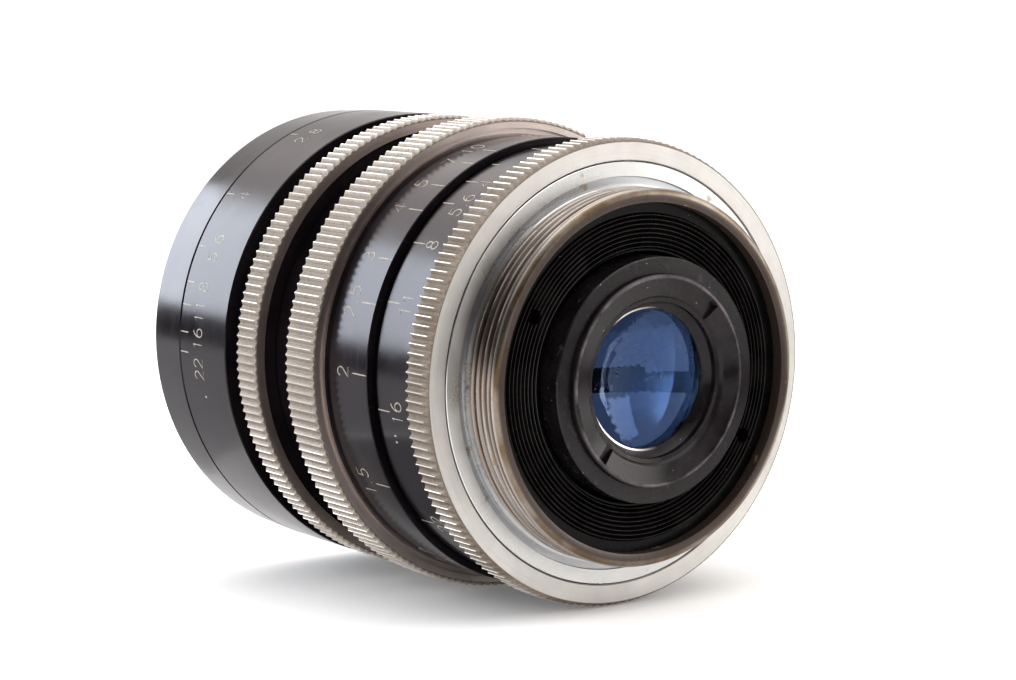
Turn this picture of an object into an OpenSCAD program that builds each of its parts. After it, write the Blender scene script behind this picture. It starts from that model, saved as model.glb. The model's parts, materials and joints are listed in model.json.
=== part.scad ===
// Manual focus camera lens with a 42 mm screw mount, a helicoid focus ring
// with a distance scale, a depth-of-field scale and a six-blade iris.
// The optical axis lies along Y: the mount points to -Y, the front glass to +Y.
// The origin is the centre of the mount's flange seat.

/* [Mount] */
// Major diameter of the mount thread
mount_thread_d = 42; // [41.8:0.1:42.2]
// Length that the threaded tube stands behind the flange seat
mount_tube_l = 4.95; // [4.6:0.05:5.2]
// Outer diameter of the flange plate inside the clamp ring
flange_d = 47.32; // [47.1:0.02:47.4]
// Outer diameter of the knurled clamp ring over its teeth
mount_ring_d = 52.72; // [52:0.02:53.4]
// Width of the knurled clamp ring along the axis
mount_ring_w = 3.93; // [3.6:0.01:4.2]

/* [Depth scale] */
// Outer diameter of the fixed depth-of-field ring
depth_ring_d = 50; // [49.6:0.1:50.6]
// Place of its front edge, ahead of the flange seat
depth_ring_front = 11.8; // [11:0.1:11.9]

/* [Focus ring] */
// Outer diameter of the distance scale
distance_ring_d = 51.56; // [51:0.02:52.2]
// Place of the distance scale's rear edge
distance_ring_rear = 12.33; // [12.2:0.01:12.6]
// Outer diameter of the wide grip over its teeth
focus_grip_d = 55.32; // [54.6:0.02:56.4]
// Place of the wide grip's rear face
focus_grip_rear = 20.84; // [20.4:0.02:21]
// Width of the wide grip
focus_grip_w = 5.66; // [5.5:0.01:5.7]

/* [Aperture ring] */
// Outer diameter of the narrow grip over its teeth
aperture_grip_d = 54.74; // [54.2:0.02:55.6]
// Place of the narrow grip's rear face
aperture_grip_rear = 33.8; // [33.6:0.1:34]
// Width of the narrow grip
aperture_grip_w = 4; // [3.6:0.1:4.4]
// Outer diameter of the aperture scale
aperture_scale_d = 54.6; // [54:0.1:55.2]
// Place of the aperture scale's rear edge
aperture_scale_rear = 40.35; // [39.6:0.05:41]
// Degrees that the ring turns from wide open to fully stopped down
aperture_turn = 66.7; // [60:0.1:68]

/* [Front] */
// Overall length ahead of the flange seat
front_l = 57.8; // [57.2:0.1:58.4]
// Outer diameter of the front ring where it meets the aperture scale
front_ring_d = 54.48; // [54:0.02:55]
// Diameter of the filter thread's bore
filter_d = 49; // [48.8:0.1:49.2]
// Depth of the filter thread's bore
filter_depth = 4.9; // [4.6:0.1:4.9]

/* [Rear cell] */
// Outer diameter of the rear optics cell
rear_cell_d = 27.3; // [27:0.1:27.6]
// How far the rear cell stands behind the flange seat
rear_cell_back = 6.3; // [6:0.1:6.6]
// Diameter of the rear glass that shows
rear_glass_d = 15.6; // [15:0.1:16.2]

/* [Iris] */
// Diameter of the fully open iris
iris_open_d = 15; // [14.4:0.1:15.2]
// Degrees that each blade turns to reach the smallest opening
blade_turn = 25.2; // [20:0.1:26]

/* [Hidden] */
$fn = 128;
// Gaps: between turned surfaces that run on each other, and between those that stay clear
fit_gap = 0.08;
clear_gap = 0.3;
pin_gap = 0.05;

// Mount and housing
thread_r = mount_thread_d / 2;
mount_bore_r = 19.5;
flange_r = flange_d / 2;
flange_t = 2.2;
seat_recess_r = 22;
seat_recess = 0.25;
mount_ring_r = mount_ring_d / 2;
mount_ring_bore_r = flange_r + 0.1;
housing_or = 23.5;
housing_ir = 22.3;
housing_front = 17.2;
baffle_ir = 14.1;
baffle_face = -3.8;
baffle_t = 2.2;
rib_pitch = 0.5;
rib_count = 8;
rib_h = 0.35;
rib_start_r = 14.3;
spanner_hole_r = 0.85;
spanner_circle_r = 16.7;
spanner_clock = 62;

// Guide key in the bottom of the housing
key_clock = 180;
key_w = 3;
key_rear = 6;
key_l = 8;
key_screw_r = 0.7;

// Focus sleeve and its stop
sleeve_or = 24.9;
retainer_or = 24.15;
retainer_t = 1.4;
nut_or = 24.2;
nut_rear = 19.2;
nut_front = 25;
sleeve_front = 26.3;
focus_front = focus_grip_rear + focus_grip_w;
stop_z = 15;
stop_r = 0.9;
stop_clock = 90;
focus_to_infinity = 8.4;
focus_to_near = 168;

// Optics barrel
barrel_thread_r = housing_ir - 0.03;
barrel_bore_r = 21;
barrel_or = 24.2;
barrel_rear = 3;
collar_rear = 25.35;
collar_t = 2;
sleeve_wall_r = 22.9;
collar_front = collar_rear + collar_t;
front_plate_z = 51.15;
tube_or = 21.6;
tube_ir = 20.5;
tube_front = 50.6;
name_ring_t = 1.2;
cell_r = 20.4;
front_edge = 49.5;
front_edge_t = 3;
front_lip_r = 19.9;

// Iris
blade_count = 6;
blade_t = 0.1;
blade_step = 0.16;
blade_pivot_r = 15.9;
blade_lever = 6;
blade_pin_r = 0.4;
blade_inner_r = iris_open_d / 2 + 0.4;
blade_outer_r = 14.5;
blade_span = 125;
iris_plate_rear = 32;
iris_plate_t = 1.2;
iris_plate_front = iris_plate_rear + iris_plate_t;
iris_rim_ir = 19.6;
iris_rim_front = 37.5;
blade_z = iris_plate_front + 0.1;
cam_rear = blade_z + blade_count * blade_step + 0.1;
cam_t = 1.35;
cam_or = 19.3;
drive_z = cam_rear + cam_t / 2;
drive_r = 0.45;
drive_clock = 270;

// Rear optics
rear_bore_r = 10.5;
rear_seat_r = 11.85;
rear_glass_r = rear_glass_d / 2;
rear_ring_back = 0.7;
rear_ring_bore_r = 9.4;
slot_clock = -44;

mount_metal = [0.74, 0.71, 0.66];
grip_metal = [0.72, 0.69, 0.62];
black_metal = [0.13, 0.13, 0.14];
grey_metal = [0.25, 0.24, 0.24];
brass = [0.72, 0.58, 0.32];
steel = [0.6, 0.6, 0.6];
clear_glass = [0.55, 0.65, 0.8];
blade_steel = [0.2, 0.2, 0.22];

// Turns shapes made along Z so that Z becomes the optical axis, pointing to the front
module on_axis() {
    rotate([-90, 0, 0])
        children();
}

// Turns a shape drawn at +X to a clock angle, counted from the top towards -X
module at_clock(angle) {
    rotate([0, 0, -90 - angle])
        children();
}

// A turned part from its half outline, as [radius, place along the axis]
module turned(outline) {
    rotate_extrude()
        polygon(outline);
}

// A plain tube
module tube(inner_r, outer_r, rear, front) {
    difference() {
        translate([0, 0, rear])
            cylinder(r = outer_r, h = front - rear);
        translate([0, 0, rear - 1])
            cylinder(r = inner_r, h = front - rear + 2);
    }
}

// A round rod that lies along a radius
module radial_rod(r, from_r, to_r, z) {
    translate([from_r, 0, z])
        rotate([0, 90, 0])
            cylinder(r = r, h = to_r - from_r);
}

// A slot through a tube wall, along part of the circle and a little past each end
module arc_slot(half_w, from_r, to_r, z, sweep) {
    spare = half_w / from_r * 180 / PI;
    rotate([0, 0, -spare])
        rotate_extrude(angle = sweep + 2 * spare)
            translate([from_r, z - half_w])
                square([to_r - from_r, 2 * half_w]);
}

// How far a sphere's surface falls back at a distance from its axis
function sag(curve_r, r) = curve_r - sqrt(curve_r * curve_r - r * r);

// Points of a lens surface from one radius to another; edge_z is its place at edge_r,
// and bulge is 1 where the middle stands ahead of the edge and -1 where it lies behind
arc_steps = 14;
function glass_arc(curve_r, edge_r, edge_z, bulge, from_r, to_r) = [
    for (i = [0:arc_steps])
        let (r = from_r + (to_r - from_r) * i / arc_steps)
            [r, edge_z + bulge * (sag(curve_r, edge_r) - sag(curve_r, r))]
];

// A lens with its rear and front surfaces between two edge planes
module lens(r, edge_rear, edge_front, rear_curve, front_curve, rear_bulge = -1, front_bulge = 1) {
    turned(concat(
        glass_arc(rear_curve, r, edge_rear, rear_bulge, 0, r),
        glass_arc(front_curve, r, edge_front, front_bulge, r, 0)
    ));
}

// ---- Fixed mount body ----

module mount_flange() {
    back = -mount_tube_l;
    color(mount_metal)
        on_axis()
            turned([
                [mount_bore_r, back],
                [thread_r - 0.75, back + 0.1],
                [thread_r - 0.15, back + 0.35],
                [thread_r, back + 0.5],
                [thread_r, 0],
                [thread_r + 0.3, 0],
                [thread_r + 0.3, seat_recess],
                [seat_recess_r, seat_recess],
                [seat_recess_r, 0],
                [flange_r, 0],
                [flange_r, flange_t],
                [mount_bore_r, flange_t]
            ]);
}

module mount_ring() {
    color(grip_metal)
        on_axis()
            turned([
                [mount_ring_bore_r, 0],
                [mount_ring_r - 0.42, 0],
                [mount_ring_r, 0.9],
                [mount_ring_r, mount_ring_w],
                [housing_or, mount_ring_w],
                [housing_or, flange_t],
                [mount_ring_bore_r, flange_t]
            ]);
}

module depth_scale_ring() {
    r = depth_ring_d / 2;
    bevel = 0.35;
    color(black_metal)
        on_axis()
            turned([
                [housing_or, mount_ring_w],
                [r, mount_ring_w],
                [r, depth_ring_front - bevel],
                [r - bevel, depth_ring_front],
                [housing_or, depth_ring_front]
            ]);
}

module helicoid_housing() {
    color(brass)
        on_axis()
            difference() {
                tube(housing_ir, housing_or, flange_t, housing_front);
                at_clock(stop_clock + focus_to_infinity)
                    arc_slot(stop_r + pin_gap, housing_ir - 1, housing_or + 1, stop_z,
                             focus_to_infinity + focus_to_near);
                at_clock(key_clock)
                    for (z = [key_rear + 2, key_rear + key_l - 2])
                        radial_rod(key_screw_r + pin_gap, housing_ir - 1, housing_or + 1, z);
            }
}

// Light baffle with concentric V ribs and two holes for a pin spanner
module rear_baffle() {
    ribs = [for (i = [0:rib_count - 1]) for (p = [[0, 0], [rib_pitch / 2, -rib_h]])
        [rib_start_r + i * rib_pitch + p[0], baffle_face + rib_h + p[1]]];
    ribs_end_r = rib_start_r + rib_count * rib_pitch;
    color(black_metal)
        on_axis()
            difference() {
                turned(concat(
                    [[baffle_ir, baffle_face + rib_h]],
                    ribs,
                    [[ribs_end_r, baffle_face + rib_h],
                     [mount_bore_r, baffle_face + rib_h],
                     [mount_bore_r, baffle_face + rib_h + baffle_t],
                     [baffle_ir, baffle_face + rib_h + baffle_t]]
                ));
                for (side = [0, 180])
                    at_clock(spanner_clock + side)
                        translate([spanner_circle_r, 0, baffle_face - 1])
                            cylinder(r = spanner_hole_r, h = 2.6);
            }
}

module guide_key() {
    top_r = housing_ir;
    color(steel)
        on_axis()
            at_clock(key_clock)
                difference() {
                    intersection() {
                        translate([barrel_bore_r - 0.1, -key_w / 2, key_rear])
                            cube([top_r, key_w, key_l]);
                        tube(barrel_bore_r - 0.1, top_r, key_rear, key_rear + key_l);
                    }
                    for (z = [key_rear + 2, key_rear + key_l - 2])
                        radial_rod(key_screw_r + pin_gap, barrel_bore_r - 1, top_r + 1, z);
                }
}

module guide_key_screws() {
    color(steel)
        on_axis()
            at_clock(key_clock)
                for (z = [key_rear + 2, key_rear + key_l - 2])
                    radial_rod(key_screw_r, barrel_bore_r + 0.1, housing_or - 0.1, z);
}

module focus_retaining_ring() {
    color(brass)
        on_axis()
            tube(housing_ir, retainer_or, housing_front, housing_front + retainer_t);
}

// ---- Focus ring body ----

module focus_sleeve() {
    seat_r = housing_or + fit_gap;
    recess_r = retainer_or + clear_gap;
    mouth_r = barrel_or + clear_gap;
    recess_rear = housing_front - 0.1;
    color(brass)
        on_axis()
            difference() {
                turned([
                    [seat_r, distance_ring_rear + 0.2],
                    [sleeve_or, distance_ring_rear + 0.2],
                    [sleeve_or, sleeve_front],
                    [mouth_r, sleeve_front],
                    [mouth_r, nut_front],
                    [nut_or, nut_front],
                    [nut_or, nut_rear],
                    [recess_r, nut_rear],
                    [recess_r, recess_rear],
                    [seat_r, recess_rear]
                ]);
                at_clock(stop_clock)
                    radial_rod(stop_r + pin_gap, housing_or - 1, sleeve_or + 1, stop_z);
            }
}

module distance_scale_ring() {
    r = distance_ring_d / 2;
    color(black_metal)
        on_axis()
            turned([
                [sleeve_or, distance_ring_rear],
                [r - 0.1, distance_ring_rear],
                [r, distance_ring_rear + 0.1],
                [r, focus_grip_rear],
                [sleeve_or, focus_grip_rear]
            ]);
}

module focus_grip() {
    r = focus_grip_d / 2;
    band_r = distance_ring_d / 2;
    groove_d = 0.55;
    color(grip_metal)
        on_axis()
            turned([
                [sleeve_or, focus_grip_rear],
                [band_r, focus_grip_rear],
                [band_r, focus_grip_rear + groove_d],
                [band_r + 0.65, focus_grip_rear + groove_d],
                [band_r + 0.65, focus_grip_rear],
                [r - 0.3, focus_grip_rear],
                [r, focus_grip_rear + 0.2],
                [r, focus_front - 0.2],
                [r - 0.3, focus_front],
                [sleeve_or, focus_front]
            ]);
}

module helicoid_nut() {
    color(brass)
        on_axis()
            tube(barrel_thread_r + fit_gap, nut_or, nut_rear, nut_front);
}

module focus_stop_pin() {
    color(steel)
        on_axis()
            at_clock(stop_clock)
                radial_rod(stop_r, housing_ir + 0.2, sleeve_or - 0.15, stop_z);
}

// ---- Optics barrel body ----

module lens_barrel() {
    color(black_metal)
        on_axis()
            difference() {
                turned([
                    [barrel_bore_r, barrel_rear],
                    [barrel_thread_r, barrel_rear],
                    [barrel_thread_r, collar_rear],
                    [barrel_or, collar_rear],
                    [barrel_or, front_plate_z],
                    [sleeve_wall_r, front_plate_z],
                    [sleeve_wall_r, collar_front],
                    [barrel_bore_r, collar_front]
                ]);
                at_clock(key_clock)
                    translate([barrel_bore_r - 2, -key_w / 2 - 0.1, barrel_rear - 1])
                        cube([4, key_w + 0.2, key_rear + key_l + 2]);
                at_clock(drive_clock)
                    rotate([0, 0, -2])
                        arc_slot(drive_r + clear_gap, sleeve_wall_r - 1, barrel_or + 1, drive_z,
                                 aperture_turn + 4);
            }
}

module optics_tube() {
    color(grey_metal)
        on_axis()
            difference() {
                tube(tube_ir, tube_or, collar_front, tube_front);
                at_clock(drive_clock)
                    rotate([0, 0, -2])
                        arc_slot(drive_r + clear_gap, tube_ir - 1, tube_or + 1, drive_z,
                                 aperture_turn + 4);
            }
}

module front_ring() {
    r = front_ring_d / 2;
    filter_r = filter_d / 2;
    filter_rear = front_l - filter_depth;
    ring_seat_r = filter_r - 0.25;
    color(black_metal)
        on_axis()
            turned([
                [tube_or + 0.1, front_plate_z],
                [r - 0.15, front_plate_z],
                [r, front_plate_z + 0.15],
                [r - 0.27, front_l - 0.3],
                [r - 0.55, front_l],
                [filter_r + 0.3, front_l],
                [filter_r, front_l - 0.3],
                [filter_r, filter_rear + name_ring_t],
                [ring_seat_r, filter_rear + name_ring_t],
                [ring_seat_r, filter_rear],
                [tube_or + 0.1, filter_rear]
            ]);
}

module front_retaining_ring() {
    seat = front_l - filter_depth;
    outer_r = filter_d / 2 - 0.3;
    color(black_metal)
        on_axis()
            turned([
                [front_lip_r, front_edge + 0.3],
                [cell_r + 0.05, front_edge + 0.3],
                [cell_r + 0.05, tube_front],
                [tube_or + 0.05, tube_front],
                [tube_or + 0.05, seat],
                [outer_r, seat],
                [outer_r, seat + name_ring_t - 0.1],
                [outer_r - 0.5, seat + name_ring_t - 0.1],
                [tube_or - 0.6, seat + 0.5],
                [front_lip_r, front_edge + 1.3]
            ]);
}

// Front meniscus: convex to the front, deeply hollow behind
module front_element() {
    hollow_r = 14;
    color(clear_glass)
        on_axis()
            turned(concat(
                glass_arc(22, hollow_r, front_edge - front_edge_t, 1, 0, hollow_r),
                [[cell_r, front_edge - front_edge_t]],
                glass_arc(60, cell_r, front_edge, 1, cell_r, 0)
            ));
}

module front_spacer() {
    color(black_metal)
        on_axis()
            turned([
                [14.6, 44.6],
                [cell_r, 44.6],
                [cell_r, front_edge - front_edge_t],
                [18.5, front_edge - front_edge_t],
                [14.6, 45.4]
            ]);
}

module second_cell() {
    color(black_metal)
        on_axis()
            turned([
                [14.2, 40.5],
                [cell_r, 40.5],
                [cell_r, 44.6],
                [15.05, 44.6],
                [15.05, 41],
                [14.2, 41]
            ]);
}

module second_element() {
    color(clear_glass)
        on_axis()
            lens(15, 42, 43.2, 120, 90);
}

module iris_housing() {
    color(grey_metal)
        on_axis()
            difference() {
                union() {
                    tube(iris_open_d / 2, cell_r, iris_plate_rear, iris_plate_front);
                    tube(iris_rim_ir, cell_r, iris_plate_front, iris_rim_front);
                }
                for (i = [0:blade_count - 1])
                    rotate([0, 0, i * 360 / blade_count])
                        translate([blade_pivot_r, 0, iris_plate_front - 0.9])
                            cylinder(r = blade_pin_r + pin_gap, h = 2);
                at_clock(drive_clock)
                    rotate([0, 0, -2])
                        arc_slot(drive_r + clear_gap, iris_rim_ir - 0.15, cell_r + 1, drive_z,
                                 aperture_turn + 4);
            }
}

module iris_cover_ring() {
    color(black_metal)
        on_axis()
            tube(iris_open_d / 2 + 1, iris_rim_ir, cam_rear + cam_t + 0.25, iris_rim_front);
}

// Cell of the rear group: a straight tube that widens to carry the iris housing
module rear_cell() {
    r = rear_cell_d / 2;
    back = -rear_cell_back;
    seat_z = -3.6;
    color(grey_metal)
        on_axis()
            turned([
                [rear_seat_r, back],
                [r - 0.15, back],
                [r, back + 0.15],
                [r, 21],
                [20.4, 28],
                [20.4, iris_plate_rear],
                [18.6, iris_plate_rear],
                [18.6, 28.6],
                [12.4, 23],
                [rear_bore_r, 23],
                [rear_bore_r, seat_z],
                [rear_seat_r, seat_z]
            ]);
}

module rear_retaining_ring() {
    back = -rear_cell_back - rear_ring_back;
    lip_z = -4.6;
    outer_r = rear_seat_r - 0.05;
    slot_w = 1.2;
    slot_depth = 0.9;
    color(black_metal)
        on_axis()
            difference() {
                turned([
                    [rear_ring_bore_r, back],
                    [outer_r - 0.4, back],
                    [outer_r, back + 0.3],
                    [outer_r, -3.6],
                    [9.95, -3.6],
                    [9.95, lip_z + 0.3],
                    [rear_glass_r, lip_z + 0.3],
                    [rear_glass_r, lip_z],
                    [8.7, -5.3],
                    [8.7, -6.1],
                    [9.1, -6.1]
                ]);
                for (side = [0, 180])
                    at_clock(slot_clock + side)
                        translate([rear_ring_bore_r - 0.5, -slot_w / 2, back - 1])
                            cube([outer_r - rear_ring_bore_r + 0.2, slot_w, slot_depth + 1]);
            }
}

module rear_element() {
    color(clear_glass)
        on_axis()
            lens(9.9, -3.7, -1.5, 60, 40);
}

module rear_spacer_back() {
    color(black_metal)
        on_axis()
            tube(9.2, rear_bore_r - 0.05, -1.3, 4);
}

// Cemented pair: the flint's hollow takes the crown's bulge
module doublet_crown() {
    color(clear_glass)
        on_axis()
            lens(10.4, 5, 6.2, 45, 22);
}

module doublet_flint() {
    color(clear_glass)
        on_axis()
            turned(concat(
                glass_arc(22, 10.4, 6.22, 1, 0, 10.4),
                [[10.4, 10.2], [0, 10.2]]
            ));
}

module rear_spacer_front() {
    color(black_metal)
        on_axis()
            tube(9.3, rear_bore_r - 0.05, 10.3, 17);
}

module middle_element() {
    color(clear_glass)
        on_axis()
            lens(10.4, 17.7, 19.4, 70, 60);
}

module group_clamp_ring() {
    color(black_metal)
        on_axis()
            tube(9.3, rear_bore_r - 0.05, 20.4, 22.6);
}

// ---- Aperture ring body ----

module aperture_scale_ring() {
    r = aperture_scale_d / 2;
    seat_r = 25.8;
    inner_r = barrel_or + fit_gap;
    front = front_plate_z - 0.15;
    bevel = 0.12;
    color(black_metal)
        on_axis()
            difference() {
                turned([
                    [inner_r, aperture_grip_rear + 0.1],
                    [seat_r, aperture_grip_rear + 0.1],
                    [seat_r, aperture_scale_rear],
                    [r - bevel, aperture_scale_rear],
                    [r, aperture_scale_rear + bevel],
                    [front_ring_d / 2, front - bevel],
                    [front_ring_d / 2 - bevel, front],
                    [inner_r, front]
                ]);
                at_clock(drive_clock)
                    radial_rod(drive_r + pin_gap, inner_r - 1, seat_r + 0.5, drive_z);
            }
}

module aperture_grip() {
    r = aperture_grip_d / 2;
    front = aperture_grip_rear + aperture_grip_w;
    color(grip_metal)
        on_axis()
            turned([
                [25.8, aperture_grip_rear],
                [r - 0.25, aperture_grip_rear],
                [r, aperture_grip_rear + 0.2],
                [r, front - 0.2],
                [r - 0.25, front],
                [25.8, front]
            ]);
}

// Lever pin of a blade, as the blade closes by the share t of its turn
function lever_angle(t) = -90 + blade_turn * (t - 0.5);
function lever_pin(t) = [
    blade_pivot_r + blade_lever * cos(lever_angle(t)),
    blade_lever * sin(lever_angle(t))
];
function turn_back(p, a) = [p[0] * cos(a) + p[1] * sin(a), p[1] * cos(a) - p[0] * sin(a)];

// The path that the pin draws on the turning cam ring, and one side of its slot
slot_half = blade_pin_r + pin_gap;
slot_spare = 0.04;
cam_steps = 16;
cam_shares = [for (i = [0:cam_steps]) -slot_spare + (1 + 2 * slot_spare) * i / cam_steps];
function cam_point(t) = turn_back(lever_pin(t), aperture_turn * t);
function cam_step(t) = cam_point(t + 0.01) - cam_point(t - 0.01);
function cam_dir(t) = cam_step(t) / norm(cam_step(t));
function slot_side(t, side) = cam_point(t) + side * slot_half * [-cam_dir(t)[1], cam_dir(t)[0]];

module cam_slot() {
    linear_extrude(height = cam_t + 1)
        polygon(concat(
            [for (i = [0:cam_steps]) slot_side(cam_shares[i], 1)],
            [for (i = [cam_steps:-1:0]) slot_side(cam_shares[i], -1)]
        ));
}

module iris_cam_ring() {
    color(brass)
        on_axis()
            difference() {
                tube(iris_open_d / 2 + 0.5, cam_or, cam_rear, cam_rear + cam_t);
                for (i = [0:blade_count - 1])
                    rotate([0, 0, i * 360 / blade_count])
                        translate([0, 0, cam_rear - 0.5])
                            cam_slot();
                at_clock(drive_clock)
                    radial_rod(drive_r + pin_gap, cam_or - 0.4, cam_or + 1, drive_z);
            }
}

module iris_drive_screw() {
    color(steel)
        on_axis()
            at_clock(drive_clock)
                radial_rod(drive_r, cam_or - 0.35, 25.7, drive_z);
}

// ---- Iris blades ----

// Outline of the open blade: a curved strip with an ear that carries both pins
module blade_outline() {
    ear_r = 0.8;
    ear_start = -20;
    pin = lever_pin(0);
    intersection() {
        difference() {
            circle(r = blade_outer_r);
            circle(r = blade_inner_r);
        }
        polygon(concat(
            [[0, 0]],
            [for (a = [ear_start:5:blade_span]) 2 * blade_outer_r * [cos(a), sin(a)]]
        ));
    }
    polygon([
        [blade_outer_r - 1.2, -3.6],
        pin + [0.3, -ear_r + 0.06],
        [blade_pivot_r + ear_r, 0],
        [blade_outer_r - 0.6, 2.4]
    ]);
    translate(pin)
        circle(r = ear_r);
    translate([blade_pivot_r, 0])
        circle(r = ear_r);
}

// Each blade lies on its own level, so that they slide over each other
module blade(i) {
    z = blade_z + i * blade_step;
    pin = lever_pin(0);
    color(blade_steel)
        on_axis()
            rotate([0, 0, i * 360 / blade_count])
                union() {
                    translate([0, 0, z])
                        linear_extrude(height = blade_t)
                            blade_outline();
                    translate([blade_pivot_r, 0, iris_plate_front - 0.8])
                        cylinder(r = blade_pin_r, h = z + blade_t / 2 - iris_plate_front + 0.8);
                    translate([pin[0], pin[1], z + blade_t / 2])
                        cylinder(r = blade_pin_r, h = cam_rear + cam_t - 0.2 - z);
                }
}

module iris_blade_1() { color(blade_steel) blade(0); }
module iris_blade_2() { color(blade_steel) blade(1); }
module iris_blade_3() { color(blade_steel) blade(2); }
module iris_blade_4() { color(blade_steel) blade(3); }
module iris_blade_5() { color(blade_steel) blade(4); }
module iris_blade_6() { color(blade_steel) blade(5); }

mount_flange();
mount_ring();
depth_scale_ring();
helicoid_housing();
rear_baffle();
guide_key();
guide_key_screws();
focus_retaining_ring();
focus_sleeve();
distance_scale_ring();
focus_grip();
helicoid_nut();
focus_stop_pin();
lens_barrel();
optics_tube();
front_ring();
front_retaining_ring();
front_element();
front_spacer();
second_cell();
second_element();
iris_housing();
iris_cover_ring();
rear_cell();
middle_element();
group_clamp_ring();
rear_spacer_front();
doublet_crown();
doublet_flint();
rear_spacer_back();
rear_element();
rear_retaining_ring();
aperture_scale_ring();
aperture_grip();
iris_cam_ring();
iris_drive_screw();
iris_blade_1();
iris_blade_2();
iris_blade_3();
iris_blade_4();
iris_blade_5();
iris_blade_6();
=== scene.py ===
import json
import math
import random

import bmesh
import bpy
from mathutils import Matrix, Vector


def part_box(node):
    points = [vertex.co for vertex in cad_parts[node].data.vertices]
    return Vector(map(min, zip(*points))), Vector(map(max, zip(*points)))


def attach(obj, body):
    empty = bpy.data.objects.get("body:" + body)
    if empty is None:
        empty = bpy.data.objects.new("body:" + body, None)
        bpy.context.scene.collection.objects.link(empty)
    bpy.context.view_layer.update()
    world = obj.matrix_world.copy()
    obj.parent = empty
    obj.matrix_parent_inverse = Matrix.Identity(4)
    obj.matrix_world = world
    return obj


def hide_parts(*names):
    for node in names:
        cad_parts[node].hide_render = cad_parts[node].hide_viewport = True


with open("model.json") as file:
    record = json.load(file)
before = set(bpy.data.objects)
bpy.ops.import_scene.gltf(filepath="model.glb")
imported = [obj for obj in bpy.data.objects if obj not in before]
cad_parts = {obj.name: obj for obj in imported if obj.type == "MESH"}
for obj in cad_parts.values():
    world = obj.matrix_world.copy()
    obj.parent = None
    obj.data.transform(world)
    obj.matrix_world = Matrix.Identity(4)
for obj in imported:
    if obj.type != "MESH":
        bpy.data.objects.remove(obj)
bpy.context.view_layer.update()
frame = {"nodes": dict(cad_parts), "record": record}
nodes = frame["nodes"]

MM = 0.001
WELD = 0.0002 * MM  # points closer than this become one
STEPS = 360  # facets in a full turn


# ---- Sizes read from the frame ----

def reach(node):
    """Largest radius, rear end and front end of a CAD node, in mm."""
    low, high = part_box(node)
    return high.x / MM, low.y / MM, high.y / MM


mount_r, mount_rear, mount_front = reach("mount_ring")
depth_r, _, depth_front = reach("depth_scale_ring")
distance_r, distance_rear, _ = reach("distance_scale_ring")
focus_r, focus_rear, focus_front = reach("focus_grip")
stop_r, stop_rear, stop_front = reach("aperture_grip")
scale_r, scale_rear, scale_front = reach("aperture_scale_ring")
flange_r, flange_back, flange_front = reach("mount_flange")
front_r = reach("front_ring")[0]


# ---- Mesh helpers ----

def on_ring(angle, r, y):
    """Point at a clock angle in radians, a radius and a place along the axis."""
    return Vector((-r * math.sin(angle), y, r * math.cos(angle))) * MM


def new_mesh(name, points, faces, smooth_angle=30):
    """A mesh object, shaded smooth except over edges sharper than smooth_angle.

    Points that fall together are welded, and closed shells are turned to face outwards."""
    mesh = bpy.data.meshes.new(name)
    mesh.from_pydata(points, [], faces)
    shell = bmesh.new()
    shell.from_mesh(mesh)
    bmesh.ops.remove_doubles(shell, verts=shell.verts, dist=WELD)
    bmesh.ops.recalc_face_normals(shell, faces=shell.faces)
    shell.to_mesh(mesh)
    shell.free()
    mesh.validate()
    mesh.shade_smooth()
    mesh.set_sharp_from_angle(angle=math.radians(smooth_angle))
    obj = bpy.data.objects.new(name, mesh)
    bpy.context.scene.collection.objects.link(obj)
    return obj


def swept_ring(name, sections, smooth_angle):
    """A closed ring from one outline per clock angle: [(angle, [(r, y), ...]), ...].

    All the outlines have the same number of points."""
    count = len(sections[0][1])
    points = [on_ring(angle, r, y) for angle, outline in sections for r, y in outline]
    faces = []
    for i in range(len(sections)):
        a = i * count
        b = (i + 1) % len(sections) * count
        for j in range(count):
            k = (j + 1) % count
            faces.append((a + j, b + j, b + k, a + k))
    return new_mesh(name, points, faces, smooth_angle)


def turned_solid(name, outline):
    """A closed lathe body; its outline of (r, y) points starts and ends on the axis."""
    count = len(outline) - 2
    points = [on_ring(0, *outline[0]), on_ring(0, *outline[-1])]
    for i in range(STEPS):
        points += [on_ring(math.tau * i / STEPS, r, y) for r, y in outline[1:-1]]
    faces = []
    for i in range(STEPS):
        a = 2 + i * count
        b = 2 + (i + 1) % STEPS * count
        faces.append((0, b, a))
        faces += [(a + j, b + j, b + j + 1, a + j + 1) for j in range(count - 1)]
        faces.append((1, a + count - 1, b + count - 1))
    return new_mesh(name, points, faces)


def stand_in(obj, body, slot, *cad_nodes):
    """Ties a piece to its body, and hides the CAD nodes it stands for. The slot argument is not used.
    """
    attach(obj, body)
    if cad_nodes:
        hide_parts(*cad_nodes)
    return obj


# ---- Knurled rings ----

MOUNT_TEETH = 160
GRIP_TEETH = 170
GROOVE_DEPTH = 0.42
WEAR = 0.03  # how much crests and roots vary
LEAN = 0.04  # how far a crest leans sideways, as a share of the tooth pitch
MOUNT_CHAMFER = (0.42, 0.9)
SMALL_CHAMFER = 0.12
# Share of the tooth pitch, and height from groove (0) to crest (1): a narrow crest between scoops
TOOTH = ((0.0, 1.0), (0.06, 1.0), (0.11, 0.9), (0.24, 0.42), (0.4, 0.08), (0.55, 0.0),
         (0.72, 0.1), (0.88, 0.5))


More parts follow.
